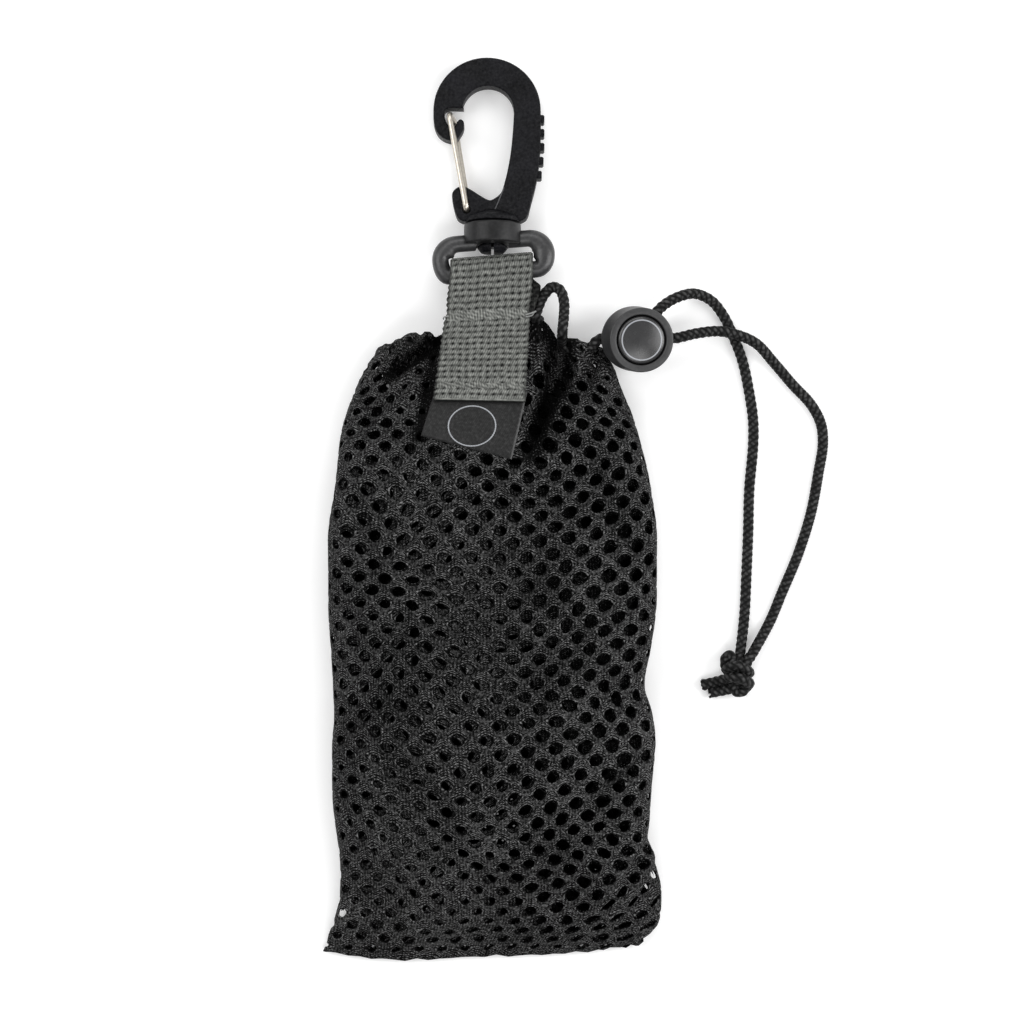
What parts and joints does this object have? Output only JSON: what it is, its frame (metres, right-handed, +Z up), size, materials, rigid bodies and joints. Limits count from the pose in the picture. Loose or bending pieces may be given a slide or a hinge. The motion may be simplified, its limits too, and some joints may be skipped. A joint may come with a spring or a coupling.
{
  "type": "drawstring mesh dive bag",
  "caption": "Small gathered mesh drawstring pouch with a webbing strap, swivel snap hook with wire gate, and a drawcord closed by a sprung cord lock.",
  "frame": {"origin": "on the surface under the middle of the bag and hook, as the bag lies on its back", "axes": "+Y from the bottom seam to the hook, +X to the side where the cord lies, +Z up out of the surface"},
  "size_m": [0.1425, 0.2538, 0.0266],
  "materials": {
    "mesh": "black open knit mesh",
    "webbing": "grey ribbed webbing",
    "label": "smooth black woven tape",
    "cord": "black braided cord",
    "hook_plastic": "fine-grained black moulding",
    "ring_plastic": "satin dark grey moulding",
    "lock_plastic": "satin dark grey moulding",
    "button_plastic": "smooth dark grey moulding",
    "gate_steel": "nickel-plated wire"
  },
  "bodies": {
    "bag": {"bag_body": "mesh", "inner_panel": "mesh", "webbing_strap": "webbing", "label_tab": "label", "drawcord_casing": "cord", "strand_upper": "cord", "strand_lower": "cord", "cord_knot": "cord", "lock_body": "lock_plastic"},
    "ring": {"swivel_ring": "ring_plastic"},
    "hook": {"snap_hook": "hook_plastic"},
    "gate": {"wire_gate": "gate_steel"},
    "button": {"lock_button": "button_plastic"}
  },
  "joints": [
    {"name": "ring_swing", "type": "hinge", "parent": "bag", "child": "ring", "pos_m": [0.00065, 0.0665, 0.00993], "axis": [0.9966, 0.0815, -0.0088], "range_deg": [-85, 85]},
    {"name": "hook_swivel", "type": "hinge", "parent": "ring", "child": "hook", "pos_m": [0, 0.0774, 0.00875], "axis": [0, 0.9942, -0.108], "continuous": true},
    {"name": "gate_open", "type": "hinge", "parent": "hook", "child": "gate", "pos_m": [-0.0073, 0.08386, 0.00805], "axis": [0, -0.108, -0.9942], "range_deg": [0, 30], "stiffness_Nm_per_rad": 0.01},
    {"name": "lock_press", "type": "slide", "parent": "bag", "child": "button", "axis": [-0.1447, 0.0724, -0.9868], "range_m": [0, 0.0025], "stiffness_N_per_m": 300}
  ]
}
